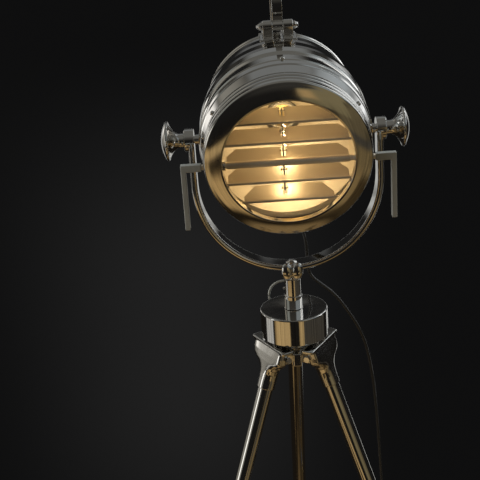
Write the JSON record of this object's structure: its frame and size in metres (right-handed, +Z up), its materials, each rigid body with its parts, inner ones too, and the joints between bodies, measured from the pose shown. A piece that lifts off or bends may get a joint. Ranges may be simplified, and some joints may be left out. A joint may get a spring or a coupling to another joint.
{
  "type": "tabletop searchlight lamp",
  "caption": "Polished tripod searchlight: round ribbed head with a louvred front, held in a U-shaped yoke that pans on a drum base over folding legs.",
  "frame": {"origin": "on the table surface, under the centre of the lamp's own bounding box, cord left out", "axes": "+Z up, -Y out of the lens, +X to the lamp's left as it faces you, towards the viewer's right"},
  "size_m": [0.3159, 0.247, 0.7592],
  "materials": {
    "polished_nickel": "mirror-polished nickel plate",
    "blade_aluminium": "polished sheet",
    "reflector_aluminium": "bright spun sheet",
    "bracket_steel": "plain plated steel",
    "bush_brass": "turned brass",
    "plated_brass": "plated",
    "lens_glass": "clear flat glass",
    "bulb_glass": "clear, lit filament inside",
    "holder_plastic": "moulded",
    "black_plastic": "moulded",
    "black_rubber": "satin",
    "cord_sheath": "smooth round sheath"
  },
  "bodies": {
    "stand": {"base_drum": "polished_nickel", "stem_sleeve": "polished_nickel", "stem_tube": "polished_nickel", "stem_pin": "polished_nickel", "crown_block": "polished_nickel", "crown_screws": "polished_nickel", "leg_hinge_bolts": "polished_nickel", "cord_lower": "cord_sheath", "switch_body": "black_plastic", "cord_coil": "cord_sheath", "plug_body": "black_plastic", "plug_pins": "plated_brass"},
    "left_leg": {"left_leg_bracket": "polished_nickel", "left_leg_tube": "polished_nickel", "left_leg_foot": "black_rubber"},
    "right_leg": {"right_leg_bracket": "polished_nickel", "right_leg_tube": "polished_nickel", "right_leg_foot": "black_rubber"},
    "rear_leg": {"rear_leg_bracket": "polished_nickel", "rear_leg_tube": "polished_nickel", "rear_leg_foot": "black_rubber"},
    "pan_lock": {"pan_lock_lever": "polished_nickel"},
    "yoke": {"yoke_frame": "polished_nickel", "yoke_hub": "polished_nickel", "yoke_hub_bolt": "polished_nickel", "cord_yoke": "cord_sheath"},
    "head": {"louvre_ring": "polished_nickel", "front_bezel": "polished_nickel", "lens_gasket": "black_rubber", "front_lens": "lens_glass", "lens_retainer": "bracket_steel", "drum_shell": "polished_nickel", "shell_screws": "polished_nickel", "rear_ring": "polished_nickel", "rear_cover": "polished_nickel", "trunnion_studs": "polished_nickel", "louvre_bushes": "bush_brass", "handle_clevises": "polished_nickel", "carry_handle": "polished_nickel", "handle_pins": "polished_nickel", "reflector": "reflector_aluminium", "lamp_holder": "holder_plastic", "holder_bracket": "bracket_steel", "bulb_cap": "plated_brass", "bulb_glass": "bulb_glass", "cord_gland": "black_rubber", "cord_head": "cord_sheath"},
    "left_knob": {"left_clamp_knob": "polished_nickel"},
    "right_knob": {"right_clamp_knob": "polished_nickel"},
    "louvre_drive": {"louvre_3": "blade_aluminium", "louvre_drive_shaft": "polished_nickel", "shaft_collar": "polished_nickel", "left_louvre_lever": "polished_nickel", "right_louvre_lever": "polished_nickel"},
    "top_louvre": {"louvre_1": "blade_aluminium"},
    "upper_louvre": {"louvre_2": "blade_aluminium"},
    "lower_louvre": {"louvre_4": "blade_aluminium"},
    "bottom_louvre": {"louvre_5": "blade_aluminium"},
    "louvre_link": {"louvre_link_bar": "bracket_steel"},
    "rocker": {"switch_rocker": "black_plastic"}
  },
  "joints": [
    {"name": "left_leg_fold", "type": "hinge", "parent": "stand", "child": "left_leg", "pos_m": [-0.02598, -0.05142, 0.33], "axis": [0.5, -0.866, 0], "range_deg": [0, 18]},
    {"name": "right_leg_fold", "type": "hinge", "parent": "stand", "child": "right_leg", "pos_m": [0.02598, -0.05142, 0.33], "axis": [0.5, 0.866, 0], "range_deg": [0, 18]},
    {"name": "rear_leg_fold", "type": "hinge", "parent": "stand", "child": "rear_leg", "pos_m": [0, -0.00642, 0.33], "axis": [-1, 0, 0], "range_deg": [0, 18]},
    {"name": "pan_lock_turn", "type": "hinge", "parent": "stand", "child": "pan_lock", "pos_m": [-0.012, -0.03642, 0.4146], "axis": [-1, 0, 0], "range_deg": [-60, 80]},
    {"name": "yoke_pan", "type": "hinge", "parent": "stand", "child": "yoke", "pos_m": [0, -0.03642, 0.4185], "axis": [0, 0, 1], "range_deg": [-170, 170]},
    {"name": "head_tilt", "type": "hinge", "parent": "yoke", "child": "head", "pos_m": [0, -0.03642, 0.5922], "axis": [1, 0, 0], "range_deg": [-35, 50]},
    {"name": "left_knob_turn", "type": "hinge", "parent": "head", "child": "left_knob", "pos_m": [-0.125, -0.03642, 0.5922], "axis": [-1, 0, 0], "range_deg": [0, 270]},
    {"name": "right_knob_turn", "type": "hinge", "parent": "head", "child": "right_knob", "pos_m": [0.125, -0.03642, 0.5922], "axis": [1, 0, 0], "range_deg": [0, 270]},
    {"name": "louvre_drive_turn", "type": "hinge", "parent": "head", "child": "louvre_drive", "pos_m": [0, -0.09183, 0.57522], "axis": [-1, 0, 0], "range_deg": [0, 80]},
    {"name": "top_louvre_turn", "type": "hinge", "parent": "head", "child": "top_louvre", "pos_m": [0, -0.10044, 0.62081], "axis": [-1, 0, 0], "range_deg": [0, 80]},
    {"name": "upper_louvre_turn", "type": "hinge", "parent": "head", "child": "upper_louvre", "pos_m": [0, -0.09613, 0.59801], "axis": [-1, 0, 0], "range_deg": [0, 80]},
    {"name": "lower_louvre_turn", "type": "hinge", "parent": "head", "child": "lower_louvre", "pos_m": [0, -0.08752, 0.55242], "axis": [-1, 0, 0], "range_deg": [0, 80]},
    {"name": "bottom_louvre_turn", "type": "hinge", "parent": "head", "child": "bottom_louvre", "pos_m": [0, -0.08321, 0.52962], "axis": [-1, 0, 0], "range_deg": [0, 80]},
    {"name": "link_swing", "type": "hinge", "parent": "louvre_drive", "child": "louvre_link", "pos_m": [-0.004, -0.07366, 0.58357], "axis": [-1, 0, 0], "range_deg": [-80, 0]},
    {"name": "switch_rock", "type": "hinge", "parent": "stand", "child": "rocker", "pos_m": [0.165, 0.00558, 0.0146], "axis": [1, 0, 0], "range_deg": [-8, 8]}
  ],
  "couplings": [
    {"joint": "top_louvre_turn", "follows": "louvre_drive_turn", "ratio": 1},
    {"joint": "upper_louvre_turn", "follows": "louvre_drive_turn", "ratio": 1},
    {"joint": "lower_louvre_turn", "follows": "louvre_drive_turn", "ratio": 1},
    {"joint": "bottom_louvre_turn", "follows": "louvre_drive_turn", "ratio": 1},
    {"joint": "link_swing", "follows": "louvre_drive_turn", "ratio": -1}
  ]
}
